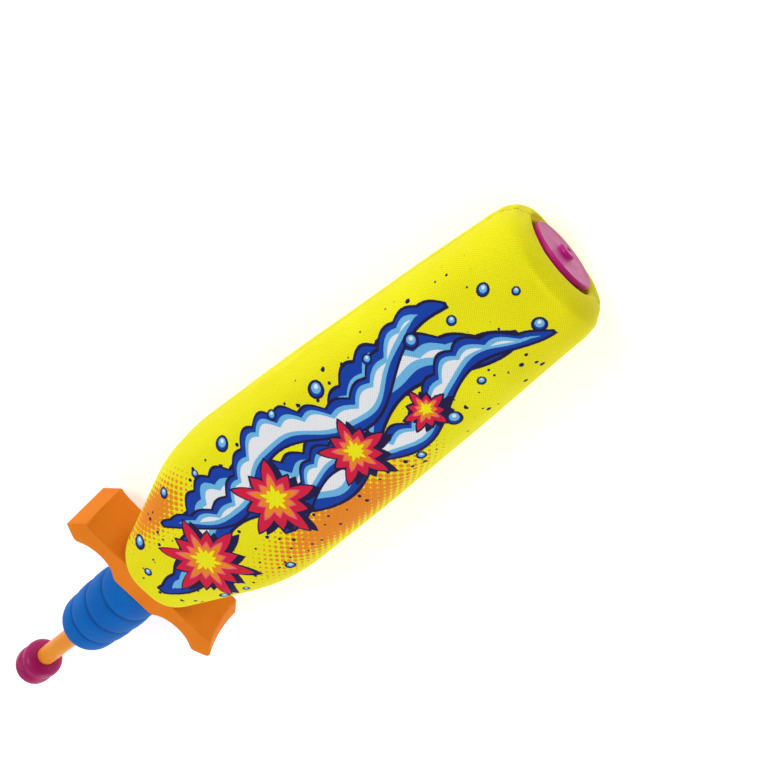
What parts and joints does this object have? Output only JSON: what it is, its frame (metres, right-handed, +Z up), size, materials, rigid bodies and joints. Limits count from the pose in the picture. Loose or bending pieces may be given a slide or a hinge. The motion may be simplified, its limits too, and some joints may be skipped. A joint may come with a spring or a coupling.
{
  "type": "water squirter",
  "caption": "Sword-shaped hand-pump water squirter with a padded woven blade, foam cross-guard, ribbed grip and a sliding plunger with a pull knob.",
  "frame": {"origin": "under the middle of the overall box, on the surface that the plain back face lies on", "axes": "+X along the pump towards the nozzle, +Z up out of the printed face, +Y across the blade"},
  "size_m": [0.4548, 0.1148, 0.058],
  "materials": {
    "printed_cloth": "woven, printed",
    "plain_cloth": "woven",
    "padding_foam": "closed-cell foam",
    "orange_foam": "matt closed-cell foam",
    "blue_foam": "satin closed-cell foam",
    "magenta_plastic": "satin moulded plastic",
    "orange_plastic": "satin extruded plastic",
    "white_plastic": "plain moulded plastic",
    "black_rubber": "matt rubber"
  },
  "bodies": {
    "squirter": {"cover_front_panel": "printed_cloth", "cover_back_panel": "plain_cloth", "foam_core": "padding_foam", "barrel": "white_plastic", "nozzle_cap": "magenta_plastic", "guard": "orange_foam", "grip": "blue_foam", "rod_guide": "white_plastic"},
    "plunger": {"plunger_rod": "orange_plastic", "knob": "magenta_plastic", "piston": "white_plastic", "piston_ring_front": "black_rubber", "piston_ring_rear": "black_rubber"}
  },
  "joints": [
    {"name": "plunger_slide", "type": "slide", "parent": "squirter", "child": "plunger", "axis": [1, 0, 0], "range_m": [-0.274, 0.046]}
  ]
}
